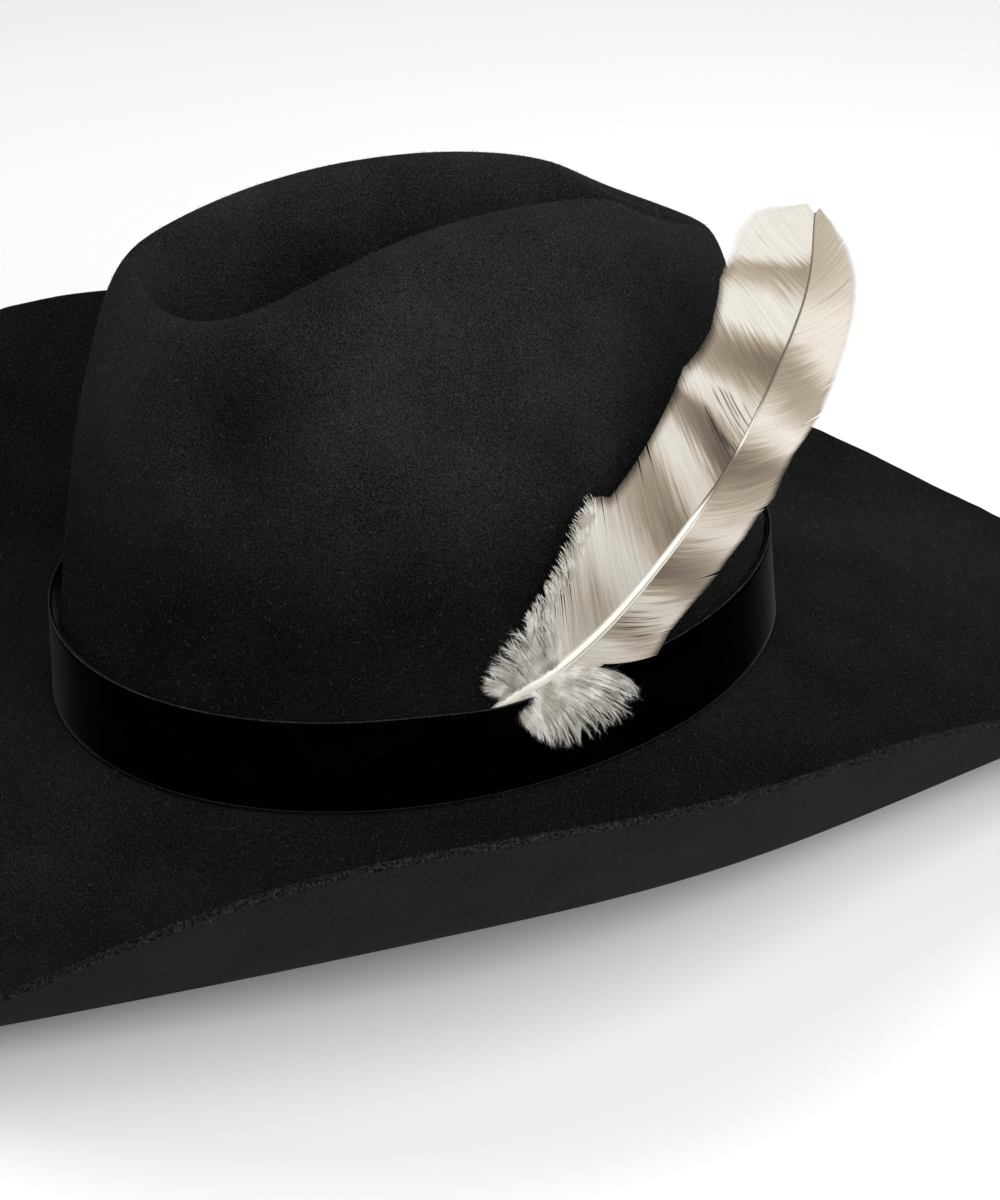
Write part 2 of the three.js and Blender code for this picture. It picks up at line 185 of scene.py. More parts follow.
# Felt
# Crown and brim are one piece of fur felt, blocked wet over a wooden form, creased by hand while
# soft, and stiffened. The brim's edge is left as it was cut. Millimetres from the break, where
# the crown meets the brim; the front of the hat is towards -Y.
MM = 0.001
BREAK_HEIGHT = 33.6
FELT_THICKNESS = 2.2
OVAL_HALF_WIDTH = 82.3
OVAL_HALF_LENGTH = 99.3
OVAL_EGG = 0.05
BRIM_START = 2.4
BRIM_SINK = 1.0
TABLE_SOFTNESS = 1.5
TABLE_PRESS = 0.4
CUT_ROUNDING = 0.7
CUT_ROUGHNESS = 0.12
CUT_SQUARENESS = 0.6
CUT_TURNS = (30, 60, 90, 120, 150)       # degrees over the cut edge, from upper side to underside
CROWN_COLUMNS = ("ridge_x", "ridge_y", "height", "taper", "fullness", "crease")
CROWN = [                                # a row every 30 degrees from the front to the back
    (0.0, -84.5, 104.0, 3.0, 3.2, 0.0),
    (8.0, -67.5, 112.2, 8.5, 2.7, 0.0),
    (13.8, -53.0, 122.2, 8.5, 2.3, 7.0),
    (22.1, -17.4, 129.1, 9.8, 2.2, 20.0),
    (27.9, 27.0, 125.4, 9.2, 2.3, 27.0),
    (28.7, 58.0, 118.6, 12.3, 2.2, 15.0),
    (0.0, 68.0, 115.5, 14.4, 2.3, 0.0),
]
HOLLOW_COLUMNS = ("angle", "rise", "depth", "reach", "below", "above")
HOLLOWS = [(77.0, 0.84, 8.0, 45.0, 0.18, 0.12), (141.0, 0.81, 4.5, 15.0, 0.16, 0.12)]
BRIM_COLUMNS = ("reach", "edge", "dip", "roll")
BRIM = [
    (111.0, -37.5, -2.0, 1.6),
    (109.0, -23.0, -13.0, 2.2),
    (81.0, 16.0, -20.0, 2.6),
    (87.0, 40.0, -12.0, 2.6),
    (98.0, 39.5, -13.5, 2.8),
    (111.0, -11.5, -18.0, 1.5),
    (111.0, -37.5, -2.0, 1.6),
]
BREAK_RINGS = [(1.1, -1.0), (0.25, -0.3)]  # out from the crown's foot, and above it
FELT_TURNS = 240                         # columns round the hat
BRIM_RINGS = 44
RING_CROWDING = 1.25                     # draws the brim's rings together towards the cut edge
WALL_RINGS = 40
TOP_STEPS = 28


def wave(values, changes_sign=False):
    """A smooth wave through evenly spaced values, cosines, or sines where the sign changes."""
    last = len(values) - 1
    turn = np.sin if changes_sign else np.cos
    places = np.arange(last + 1)
    weight = np.where((places == 0) | (places == last), 0.5, 1.0)
    strengths = [2 / last * np.sum(weight * values * turn(np.pi * places * k / last))
                 * (1.0 if changes_sign else weight[k]) for k in places]
    return lambda angle: sum(s * turn(k * angle) for k, s in enumerate(strengths))


crown = {name: wave(np.array(column), name == "ridge_x")
         for name, column in zip(CROWN_COLUMNS, zip(*CROWN))}
brim = {name: wave(np.array(column)) for name, column in zip(BRIM_COLUMNS, zip(*BRIM))}


def oval(angle, grow=0.0):
    x = OVAL_HALF_WIDTH * np.sin(angle) * (1 - OVAL_EGG * np.cos(angle))
    y = -OVAL_HALF_LENGTH * np.cos(angle)
    scale = 1 + grow / np.hypot(x, y)
    return np.stack([x * scale, y * scale], -1)


def wall_points(angle, rise):
    """The crown's outside from its foot (0) to the ridge (1), with the hollows pressed in."""
    foot = oval(angle)
    across = np.stack([crown["ridge_x"](angle), crown["ridge_y"](angle)], -1) - foot
    way = np.linalg.norm(across, axis=-1)
    taper = crown["taper"](angle) / way
    fullness = crown["fullness"](angle)
    rounding = 1 - np.maximum(1 - rise ** fullness, 0) ** (1 / fullness)
    from_front = np.degrees(np.abs(np.arctan2(np.sin(angle), np.cos(angle))))
    press = 0.0
    for hollow in HOLLOWS:
        h = dict(zip(HOLLOW_COLUMNS, hollow))
        round_it = (from_front - h["angle"]) / h["reach"]
        up_it = (rise - h["rise"]) / np.where(rise < h["rise"], h["below"], h["above"])
        press = press + h["depth"] * np.exp(-(round_it ** 2 + up_it ** 2) ** 2)
    inward = taper * rise + (1 - taper) * rounding + press / way
    return np.column_stack([foot + across * inward[:, None], crown["height"](angle) * rise - press])


def brim_points(angle, out):
    """The brim's upper side from the break (0) to the cut edge (1), lying on the table if low."""
    first = oval(angle, BRIM_START)
    start_way = np.linalg.norm(first, axis=-1)
    reach = (brim["reach"](angle) - BRIM_START) * out
    z = brim["edge"](angle) * out ** brim["roll"](angle) + 4 * out * (1 - out) * brim["dip"](angle)
    z = z - BRIM_SINK * (1 - out)
    lowest = FELT_THICKNESS - TABLE_PRESS - BREAK_HEIGHT
    z = lowest + TABLE_SOFTNESS * np.log1p(np.exp((z - lowest) / TABLE_SOFTNESS))
    return np.column_stack([first * (1 + reach / start_way)[:, None], z])


def plain_object(name, points, faces, smooth=True, edges=()):
    """A mesh object from points in millimetres above the break."""
    mesh = bpy.data.meshes.new(name)
    lifted = np.asarray(points) + (0.0, 0.0, BREAK_HEIGHT)
    mesh.from_pydata((lifted * MM).tolist(), edges, [tuple(int(v) for v in face) for face in faces])
    mesh.polygons.foreach_set("use_smooth", [smooth] * len(mesh.polygons))
    piece = bpy.data.objects.new(name, mesh)
    scene.collection.objects.link(piece)
    return piece


def point_values(mesh, name, values, kind="FLOAT"):
    """Stores one value, or one vector, for each point of a mesh."""
    layer = mesh.attributes.new(name, kind, "POINT")
    layer.data.foreach_set("value" if kind == "FLOAT" else "vector", np.asarray(values, float).ravel())


def hand_in(piece, finish, node=None):
    """Gives a finished piece its material and fixes it to the hat, in place of a solid if named."""
    piece.data.materials.clear()
    piece.data.materials.append(finish)
    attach(piece, "root")
    if node:
        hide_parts(node)


def bands(rings):
    """Quads between each ring of point numbers and the next."""
    lower, upper = rings[:-1], rings[1:]
    quads = np.stack([lower, np.roll(lower, -1, 1), np.roll(upper, -1, 1), upper], -1)
    return quads.reshape(-1, 4)


turns = 2 * np.pi * np.arange(FELT_TURNS) / FELT_TURNS
edge_in = CUT_ROUNDING / brim["reach"](turns)
brim_steps = 1 - np.linspace(0, 1, BRIM_RINGS) ** RING_CROWDING
ring_points = [brim_points(turns, np.minimum(out, 1 - edge_in)) for out in brim_steps]
ring_points += [np.column_stack([oval(turns, grow), np.full(FELT_TURNS, lift)])
                for grow, lift in BREAK_RINGS]
ring_points += [wall_points(turns, np.full(FELT_TURNS, math.sin(math.pi / 2 * (k + 1) / WALL_RINGS)))
                for k in range(WALL_RINGS)]
felt_points = np.concatenate(ring_points)
rings = np.arange(len(felt_points)).reshape(-1, FELT_TURNS)
felt_faces = bands(rings).tolist()

# The top sinks from the ridge on each side into the long crease between them.
ridge = rings[-1]
half_turn = FELT_TURNS // 2
rows = [np.full(TOP_STEPS + 1, ridge[0])]
top_points = []
top_inward = []
for i in range(1, half_turn):
    side = 1 - 2 * np.arange(1, TOP_STEPS) / TOP_STEPS
    inward = 1 - np.abs(side)
    x, y, z = felt_points[ridge[i]]
    sink = max(crown["crease"](turns[i]), 0.0) * inward * inward * (3 - 2 * inward)
    first = len(felt_points) + len(top_points)
    top_points += np.column_stack([x * side, np.full(len(side), y), z - sink]).tolist()
    top_inward += inward.tolist()
    rows.append(np.concatenate([[ridge[i]], first + np.arange(TOP_STEPS - 1), [ridge[-i]]]))
rows.append(np.full(TOP_STEPS + 1, ridge[half_turn]))
felt_points = np.concatenate([felt_points, top_points])
for near, far in zip(rows[:-1], rows[1:]):
    for a, b, c, d in zip(near[:-1], near[1:], far[1:], far[:-1]):
        corners = (a, d, c, b)
        felt_faces.append([v for k, v in enumerate(corners) if v not in corners[:k]])

outside = plain_object("felt_outside", felt_points, felt_faces)
normals = np.empty(len(felt_points) * 3)
outside.data.vertex_normals.foreach_get("vector", normals)
normals = normals.reshape(-1, 3)
bpy.data.objects.remove(outside)
under_points = felt_points - normals * FELT_THICKNESS
under_points[:, 2] = np.maximum(under_points[:, 2], -BREAK_HEIGHT)

# The cut edge is nearly square, with softened corners and the roughness of torn fibres.
count = len(felt_points)
rough = np.random.default_rng(11)
edge_top, edge_under = felt_points[rings[0]], under_points[rings[0]]
outward = edge_top - felt_points[rings[2]]
outward /= np.linalg.norm(outward, axis=1)[:, None]
cut_points = []
for turn in np.radians(CUT_TURNS):
    level_share = np.sign(np.cos(turn)) * abs(np.cos(turn)) ** CUT_SQUARENESS
    reach = CUT_ROUNDING * np.sin(turn) ** CUT_SQUARENESS + rough.normal(0, CUT_ROUGHNESS, FELT_TURNS)
    cut_points.append((edge_top + edge_under) / 2 + (edge_top - edge_under) / 2 * level_share
                      + outward * reach[:, None])
cut_rings = 2 * count + np.arange(len(CUT_TURNS) * FELT_TURNS).reshape(-1, FELT_TURNS)
cut_faces = bands(np.vstack([count + rings[0], cut_rings[::-1], rings[0]]))
all_points = np.concatenate([felt_points, under_points] + cut_points)
all_points[:, 2] = np.maximum(all_points[:, 2], -BREAK_HEIGHT)
under_faces = [[count + v for v in reversed(face)] for face in felt_faces]
felt_hat = plain_object("felt_hat", all_points, felt_faces + under_faces + cut_faces.tolist())
cut = np.zeros(len(all_points))
cut[2 * count:] = 1.0
point_values(felt_hat.data, "cut_edge", cut)

# Painted light and shade: the felt's colour is painted greyer on the crown's upper half, as if lit from
# above, less so on the brim, and darker in the crease of the top and in a hollow at the rear. The
# underside has its own darker tones: painted shade.
# Heights over which the crown is painted lighter, and the share of that painted light on the brim
PAINTED_LIGHT_FROM, PAINTED_LIGHT_TO = 48.0, 92.0
BRIM_PAINTED_LIGHT = 0.3
# How much painted shade darkens the crease in the top
CREASE_PAINTED_SHADE = 1.0
# Where a hollow at the rear of the crown is painted darker, and how much: painted shade
REAR_HOLLOW_ANGLE, REAR_HOLLOW_SPREAD = 143.0, 13.0
REAR_HOLLOW_HEIGHT, REAR_HOLLOW_RISE = 97.0, 19.0
REAR_HOLLOW_PAINTED_SHADE = 0.95
# Painted light: greyer the higher up the crown, part way on the brim
brushed = np.clip((all_points[:, 2] - PAINTED_LIGHT_FROM) / (PAINTED_LIGHT_TO - PAINTED_LIGHT_FROM), 0, 1)
brushed[:BRIM_RINGS * FELT_TURNS] = BRIM_PAINTED_LIGHT
# Painted shade down in the crease of the top
brushed[count - len(top_inward):count] *= 1 - CREASE_PAINTED_SHADE * np.array(top_inward)
round_place = np.degrees(np.arctan2(np.abs(all_points[:, 0]) / OVAL_HALF_WIDTH,
                                    -all_points[:, 1] / OVAL_HALF_LENGTH))
# Painted shade in the hollow at the rear
rear_hollow_shade = np.exp(-((round_place - REAR_HOLLOW_ANGLE) / REAR_HOLLOW_SPREAD) ** 2
              - ((all_points[:, 2] - REAR_HOLLOW_HEIGHT) / REAR_HOLLOW_RISE) ** 2)
point_values(felt_hat.data, "brushed", brushed * (1 - REAR_HOLLOW_PAINTED_SHADE * rear_hollow_shade))
underside = np.zeros(len(all_points))
underside[count:2 * count] = 1.0
point_values(felt_hat.data, "underside", underside)

FELT_BLACK = (0.0003, 0.0003, 0.0003, 1.0)
FELT_GREY = (0.0115, 0.0115, 0.0112, 1.0)
# The crown's lighter tones: painted light
LIT_FELT_BLACK = (0.0022, 0.0022, 0.0022, 1.0)
LIT_FELT_GREY = (0.031, 0.031, 0.0303, 1.0)
# The underside's own tones, set darker than the lit crown: painted shade under the brim
UNDERSIDE_SHADE_BLACK = (0.002, 0.002, 0.002, 1.0)
UNDERSIDE_SHADE_GREY = (0.019, 0.019, 0.0184, 1.0)
CUT_FELT = (0.027, 0.0258, 0.0226, 1.0)
MOTTLE_SCALE, NAP_SCALE, FIBRE_SCALE, TORN_SCALE = 45.0, 1900.0, 4800.0, 1200.0


def grain(start, scale, detail=2.0, roughness=0.5):
    """Noise from 0 to 1 through the piece; the scale is in features a metre."""
    place = start.node("ShaderNodeTexCoord", output="Object")
    return start.node("ShaderNodeTexNoise", {}, {
        "Vector": place, "Scale": scale, "Detail": detail, "Roughness": roughness}, "Fac")


def stored(start, name, output="Fac"):
    """A value that the mesh holds for each of its points."""
    return start.node("ShaderNodeAttribute", {"attribute_name": name}, output=output)


felt_finish, start = new_finish("black_fur_felt")
mottle = grain(start, MOTTLE_SCALE)
nap = grain(start, NAP_SCALE, roughness=0.6)
fibre = grain(start, FIBRE_SCALE)
torn = stored(start, "cut_edge") * grain(start, TORN_SCALE, 3.0, 0.7).between(0.42, 0.7)
shade = (mottle * 0.1 + nap * 0.3 + fibre * 0.6).between(0.41, 0.65)
felt_colour = shade.blend(FELT_BLACK, FELT_GREY)
# Painted light: the crown's upper half is painted greyer
felt_colour = stored(start, "brushed").blend(felt_colour, shade.blend(LIT_FELT_BLACK, LIT_FELT_GREY))
# Painted shade: the underside gets its own darker tones
felt_colour = stored(start, "underside").blend(felt_colour, shade.blend(UNDERSIDE_SHADE_BLACK, UNDERSIDE_SHADE_GREY))
felt_colour = torn.blend(felt_colour, CUT_FELT)
felt_bump = start.node("ShaderNodeBump", {}, {
    "Strength": 0.8, "Distance": 0.0006, "Height": nap * 0.5 + fibre * 0.5})
close_finish(start, {
    "Base Color": felt_colour, "Roughness": 0.95, "Specular IOR Level": 0.03, "Normal": felt_bump,
    "Sheen Weight": 0.013, "Sheen Roughness": 0.3, "Sheen Tint": (0.9, 0.88, 0.86, 1.0)})
hand_in(felt_hat, felt_finish, "felt_body")

# Nap
# Short fur fibres that lie over the outer side of the felt and stand a little proud of it. They
# are the felt's own hair, raised when the hat was brushed.
NAP_COUNT_PER_M2 = 320000.0
NAP_LENGTH = 0.0011
NAP_THICKNESS = 0.00004
NAP_GREY = (0.08, 0.08, 0.077, 1.0)
NAP_LEAN = (math.radians(48), math.radians(82))
NAP_STRETCH = (0.5, 1.4)
CLEAR_OF_TABLE = 0.003


def new_tree(name, inputs):
    """Makes a geometry tree and gives a field to start its nodes from and its named inputs."""
    tree = bpy.data.node_groups.new(name, "GeometryNodeTree")
    tree.interface.new_socket(name="Geometry", in_out="INPUT", socket_type="NodeSocketGeometry")
    for label, kind, _ in inputs:
        tree.interface.new_socket(name=label, in_out="INPUT", socket_type=kind)
    tree.interface.new_socket(name="Geometry", in_out="OUTPUT", socket_type="NodeSocketGeometry")
    start = Field(tree)
    return start, start.node("NodeGroupInput")


def run_tree(piece, start, shape, inputs, finish):
    """Ends the tree, runs it on the piece and leaves the piece with the plain mesh it makes."""
    tree = start.tree
    real = start.node("GeometryNodeRealizeInstances", {}, {"Geometry": shape})
    dressed = start.node("GeometryNodeSetMaterial", {}, {"Geometry": real, "Material": finish})
    start.node("NodeGroupOutput", {}, {0: dressed})
    modifier = piece.modifiers.new(tree.name, "NODES")
    modifier.node_group = tree
    names = {item.name: item.identifier for item in tree.interface.items_tree if item.in_out == "INPUT"}
    for label, _, value in inputs:
        modifier[names[label]] = value
    seen = piece.evaluated_get(bpy.context.evaluated_depsgraph_get())
    made = bpy.data.meshes.new_from_object(seen)
    piece.modifiers.clear()
    piece.data = made
    made.name = piece.name


def chance(start, least, most, seed):
    """A random number of its own for each point."""
    return start.node("FunctionNodeRandomValue", {"data_type": "FLOAT"},
                      {"Min": least, "Max": most, "Seed": seed}, 1)


def hairs_on(start, points, thickness, length, spin, lean, size):
    """A fine pointed hair on each point, spun about the point's own direction and leant from it."""
    hair = start.node("GeometryNodeMeshCone", {"fill_type": "NONE"}, {
        "Vertices": 3, "Side Segments": 1, "Radius Bottom": thickness, "Radius Top": 0.0, "Depth": length})
    turned = points.out("Rotation")
    for axis, angle in (((0, 0, 1), spin), ((1, 0, 0), lean)):
        turn = start.node("FunctionNodeAxisAngleToRotation", {}, {"Axis": axis, "Angle": angle})
        turned = start.node("FunctionNodeRotateRotation", {"rotation_space": "LOCAL"},
                            {"Rotation": turned, "Rotate By": turn})
    return start.node("GeometryNodeInstanceOnPoints", {}, {
        "Points": points, "Instance": hair, "Rotation": turned, "Scale": size})


nap_finish, start = new_finish("black_fur")
close_finish(start, {
    "Base Color": grain(start, 700.0).between(0.4, 0.65).blend(LIT_FELT_BLACK, NAP_GREY),
    "Roughness": 0.8, "Specular IOR Level": 0.2})

nap_inputs = [("Fibres a square metre", "NodeSocketFloat", NAP_COUNT_PER_M2),
              ("Fibre length", "NodeSocketFloat", NAP_LENGTH),
              ("Fibre thickness", "NodeSocketFloat", NAP_THICKNESS),
              ("Least lean", "NodeSocketFloat", NAP_LEAN[0]),
              ("Most lean", "NodeSocketFloat", NAP_LEAN[1])]
felt_nap = bpy.data.objects.new("felt_nap", felt_hat.data.copy())
scene.collection.objects.link(felt_nap)
start, given = new_tree("nap", nap_inputs)
height = start.node("ShaderNodeSeparateXYZ", {}, {0: start.node("GeometryNodeInputPosition")}).out("Z")
below = start.node("GeometryNodeInputNamedAttribute", {"data_type": "FLOAT"}, {"Name": "underside"})
chosen = height.sign("GREATER_THAN", height, CLEAR_OF_TABLE) * below.sign("LESS_THAN", below, 0.5)
spots = start.node("GeometryNodeDistributePointsOnFaces", {}, {
    "Mesh": given, "Selection": chosen, "Density": given.out("Fibres a square metre"), "Seed": 3})
hairs = hairs_on(start, spots, given.out("Fibre thickness"), given.out("Fibre length"),
                 spin=chance(start, 0.0, 2 * math.pi, seed=5),
                 lean=chance(start, given.out("Least lean"), given.out("Most lean"), seed=6),
                 size=chance(start, *NAP_STRETCH, seed=7))
run_tree(felt_nap, start, hairs, nap_inputs, nap_finish)
hand_in(felt_nap, nap_finish)

# Ribbon
# An inch-wide black velvet ribbon drawn tight round the foot of the crown. Its two edges are
# woven, narrow and ribbed, and have no pile.
RIBBON_HEIGHT = 25.4
RIBBON_THICKNESS = 1.2
RIBBON_STANDOFF = 0.5
RIBBON_LEAN = 1.2
RIBBON_FACE, RIBBON_EDGE, RIBBON_BACK = 0.12, (0.3, 0.7), 0.98  # shares of the thickness, inwards
QUILL_BULGE = 2.2
QUILL_BULGE_REACH = 13.0
QUILL_SEAT_Y, QUILL_SEAT_Z = 15.0, 12.0
RIBBON_TURNS = 420
FACE_RISES = np.linspace(0.01, 0.99, 18)
BACK_RISES = (0.99, 0.5, 0.01)


def ribbon_points(angle, rise, inwards):
    """A ring of the ribbon; inwards is 0 on its outer face and 1 on its inner face."""
    y = oval(angle)[:, 1]
    near = np.exp(-((y - QUILL_SEAT_Y) / QUILL_BULGE_REACH) ** 2)
    height = np.clip((rise * RIBBON_HEIGHT - QUILL_SEAT_Z / 2) / QUILL_SEAT_Z, 0, 1)
    height = height * height * (3 - 2 * height)
    bulge = np.where(np.sin(angle) < 0, QUILL_BULGE * near * height, 0.0)
    grow = RIBBON_STANDOFF + RIBBON_THICKNESS * (1 - inwards) - RIBBON_LEAN * rise + bulge
    return np.column_stack([oval(angle, grow), np.full(len(angle), rise * RIBBON_HEIGHT)])


ribbon_turns = 2 * np.pi * np.arange(RIBBON_TURNS) / RIBBON_TURNS
outline = [(rise, RIBBON_FACE) for rise in FACE_RISES] + [(1.0, inwards) for inwards in RIBBON_EDGE]
outline += [(rise, RIBBON_BACK) for rise in BACK_RISES] + [(0.0, inwards) for inwards in RIBBON_EDGE[::-1]]
ribbon_rings = [ribbon_points(ribbon_turns, rise, inwards) for rise, inwards in outline]
ribbon_numbers = np.arange(len(outline) * RIBBON_TURNS).reshape(len(outline), RIBBON_TURNS)
ribbon_faces = bands(np.vstack([ribbon_numbers, ribbon_numbers[:1]]))
velvet_ribbon = plain_object("velvet_ribbon", np.concatenate(ribbon_rings), ribbon_faces)

VELVET_BLACK = (0.0001, 0.0001, 0.0001, 1.0)
VELVET_LIT = (0.0008, 0.0008, 0.001, 1.0)
PILE_SCALE, CRUSH_SCALE = 2600.0, 90.0
velvet_finish, start = new_finish("black_velvet")
pile = grain(start, PILE_SCALE, roughness=0.6)
crush = grain(start, CRUSH_SCALE)
velvet_bump = start.node("ShaderNodeBump", {}, {"Strength": 0.5, "Distance": 0.0003, "Height": pile})
close_finish(start, {
    "Base Color": (crush * 0.6 + pile * 0.4).between(0.4, 0.65).blend(VELVET_BLACK, VELVET_LIT),
    "Roughness": 1.0, "Specular IOR Level": 0.0, "Normal": velvet_bump,
    "Sheen Weight": 0.12, "Sheen Roughness": 0.2, "Sheen Tint": (0.8, 0.8, 0.9, 1.0)})
hand_in(velvet_ribbon, velvet_finish, "ribbon_band")

# Ribbed edges
# The woven selvedges of the ribbon: a fine cord of weft loops along its top and its foot.
RIBS = 800
RIB_LENGTH = 0.00024
RIB_WIDTH = 0.00019
RIB_DEPTH = 1.6                          # over its width
SELVEDGES = [                            # name, rise, inwards, size
    ("selvedge_top", 1.0, 0.25, 1.0),
    ("selvedge_foot", 0.012, 0.1, 0.55),
]
SELVEDGE_DARK = (0.01, 0.01, 0.011, 1.0)
SELVEDGE_GREY = (0.034, 0.034, 0.036, 1.0)

selvedge_finish, start = new_finish("grey_selvedge")
close_finish(start, {
    "Base Color": grain(start, 500.0).between(0.35, 0.7).blend(SELVEDGE_DARK, SELVEDGE_GREY),
    "Roughness": 0.7, "Specular IOR Level": 0.2})

for name, rise, inwards, size in SELVEDGES:
    loop = [(i, (i + 1) % RIBBON_TURNS) for i in range(RIBBON_TURNS)]
    selvedge = plain_object(name, ribbon_points(ribbon_turns, rise, inwards), [], edges=loop)
    rib_inputs = [("Ribs", "NodeSocketInt", RIBS), ("Rib length", "NodeSocketFloat", RIB_LENGTH * size),
                  ("Rib width", "NodeSocketFloat", RIB_WIDTH * (1 + size) / 2)]
    start, given = new_tree(name, rib_inputs)
    line = start.node("GeometryNodeMeshToCurve", {}, {"Mesh": given})
    line = start.node("GeometryNodeCurveToPoints", {"mode": "COUNT"},
                      {"Curve": line, "Count": given.out("Ribs")})
    ball = start.node("GeometryNodeMeshIcoSphere", {}, {"Radius": 1.0, "Subdivisions": 1})
    shape = start.node("ShaderNodeCombineXYZ", {}, {
        "X": given.out("Rib length"), "Y": given.out("Rib length"),
        "Z": given.out("Rib width") * RIB_DEPTH})
    ribs = start.node("GeometryNodeInstanceOnPoints", {}, {
        "Points": line, "Instance": ball, "Rotation": line.out("Rotation"), "Scale": shape})
    run_tree(selvedge, start, ribs, rib_inputs, selvedge_finish)
    hand_in(selvedge, selvedge_finish)

# Quill and shaft
# The feather's quill is hollow horn, cut short and pushed under the ribbon. It is round and cream
# at the root, and half way up it thins to a brown thread. Millimetres from the middle of the break.
FEATHER_LENGTH = 149.0
SHAFT_COLUMNS = ("x", "y", "z", "width", "thickness")
SHAFT = np.array([
    (-80.6, 22.0, 17.5, 2.0, 1.1),
    (-80.9, 10.8, 25.2, 3.2, 2.4),
    (-83.7, 2.0, 30.2, 3.3, 2.8),
    (-85.1, -13.6, 40.6, 3.0, 2.6),
    (-84.9, -35.9, 60.7, 2.4, 2.1),
    (-84.0, -51.8, 78.7, 2.0, 1.7),
    (-82.0, -67.0, 102.0, 1.5, 1.3),
    (-80.0, -75.4, 119.0, 1.2, 1.0),
    (-78.0, -78.4, 136.4, 0.9, 0.8),
])
OUTWARDS = np.array((-1.0, 0.0, 0.0))
THREAD_FROM, THREAD_TO, THREAD_LOSS = 62.0, 80.0, 0.55
GROOVE_DEPTH, GROOVE_SPREAD = 0.18, 0.06
LINE_STEPS = 60                          # points of the shaft's line for each row
SHAFT_RINGS = 150
SHAFT_SIDES = 14


def smooth_line(rows, steps):
    """Points along a centripetal spline through the rows, with the rows' other columns."""
    ends = np.vstack([2 * rows[0] - rows[1], rows, 2 * rows[-1] - rows[-2]])
    line = []
    for a, b, c, d in zip(ends, ends[1:], ends[2:], ends[3:]):
        gaps = [max(np.linalg.norm(q[:3] - p[:3]), 1e-6) ** 0.5 for p, q in ((a, b), (b, c), (c, d))]
        t = np.linspace(0, gaps[1], steps, endpoint=False)[:, None]
        ab = a + (b - a) * (t + gaps[0]) / gaps[0]
        bc = b + (c - b) * t / gaps[1]
        cd = c + (d - c) * (t - gaps[1]) / gaps[2]
        abc = ab + (bc - ab) * (t + gaps[0]) / (gaps[0] + gaps[1])
        bcd = bc + (cd - bc) * t / (gaps[1] + gaps[2])
        line.append(abc + (bcd - abc) * t / gaps[1])
    return np.vstack(line + [rows[-1:]])


shaft_line = smooth_line(SHAFT, LINE_STEPS)
shaft_way = np.r_[0.0, np.cumsum(np.linalg.norm(np.diff(shaft_line[:, :3], axis=0), axis=1))]
SHAFT_START = shaft_way[-1] - FEATHER_LENGTH


def shaft_at(at, *columns):
    """Columns of the shaft's table at distances from the ribbon's top edge."""
    numbers = [SHAFT_COLUMNS.index(column) for column in columns]
    return np.stack([np.interp(at + SHAFT_START, shaft_way, shaft_line[:, n]) for n in numbers], -1)


def shaft_half_width(at):
    """The shaft is drawn down to a thread between two places along it."""
    thin = np.clip((at - THREAD_FROM) / (THREAD_TO - THREAD_FROM), 0, 1)
    return shaft_at(at, "width")[..., 0] / 2 * (1 - THREAD_LOSS * thin * thin * (3 - 2 * thin))


def feather_frame(at):
    """The shaft's centre and its directions along, outwards and across, some way up from the ribbon."""
    at = np.asarray(at, float)
    inside = np.clip(at, -SHAFT_START, FEATHER_LENGTH)
    ahead = np.minimum(inside + 1, FEATHER_LENGTH)
    along = shaft_at(ahead, "x", "y", "z") - shaft_at(inside - 1, "x", "y", "z")
    along /= np.linalg.norm(along, axis=-1, keepdims=True)
    centre = shaft_at(inside, "x", "y", "z") + along * (at - inside)[..., None]
    out = OUTWARDS - along * (along @ OUTWARDS)[..., None]
    out /= np.linalg.norm(out, axis=-1, keepdims=True)
    return centre, along, out, np.cross(along, out)


at = np.linspace(-SHAFT_START, FEATHER_LENGTH, SHAFT_RINGS)
centre, _, out, across = feather_frame(at)
wide, thick = shaft_half_width(at), shaft_at(at, "thickness")[:, 0] / 2
roundness = 2 * np.pi * np.arange(SHAFT_SIDES) / SHAFT_SIDES
groove = 1 - GROOVE_DEPTH * np.exp(-((np.cos(roundness) - 1) / GROOVE_SPREAD) ** 2)
shaft_rings = (centre[:, None] + out[:, None] * (thick[:, None] * np.cos(roundness) * groove)[..., None]
               + across[:, None] * (wide[:, None] * np.sin(roundness))[..., None])
shaft_points = np.vstack([shaft_rings.reshape(-1, 3), centre[:1], centre[-1:]])
numbers = np.arange(SHAFT_RINGS * SHAFT_SIDES).reshape(SHAFT_RINGS, SHAFT_SIDES)
ends = [(len(shaft_points) - 2, b, a) for a, b in zip(numbers[0], np.roll(numbers[0], -1))]
ends += [(len(shaft_points) - 1, a, b) for a, b in zip(numbers[-1], np.roll(numbers[-1], -1))]
feather_quill = plain_object("feather_quill", shaft_points, bands(numbers).tolist() + ends)
point_values(feather_quill.data, "quill_along", np.r_[np.repeat(at, SHAFT_SIDES), at[0], at[-1]])
point_values(feather_quill.data, "quill_side", np.r_[np.tile(np.sin(roundness), SHAFT_RINGS), 0, 0])

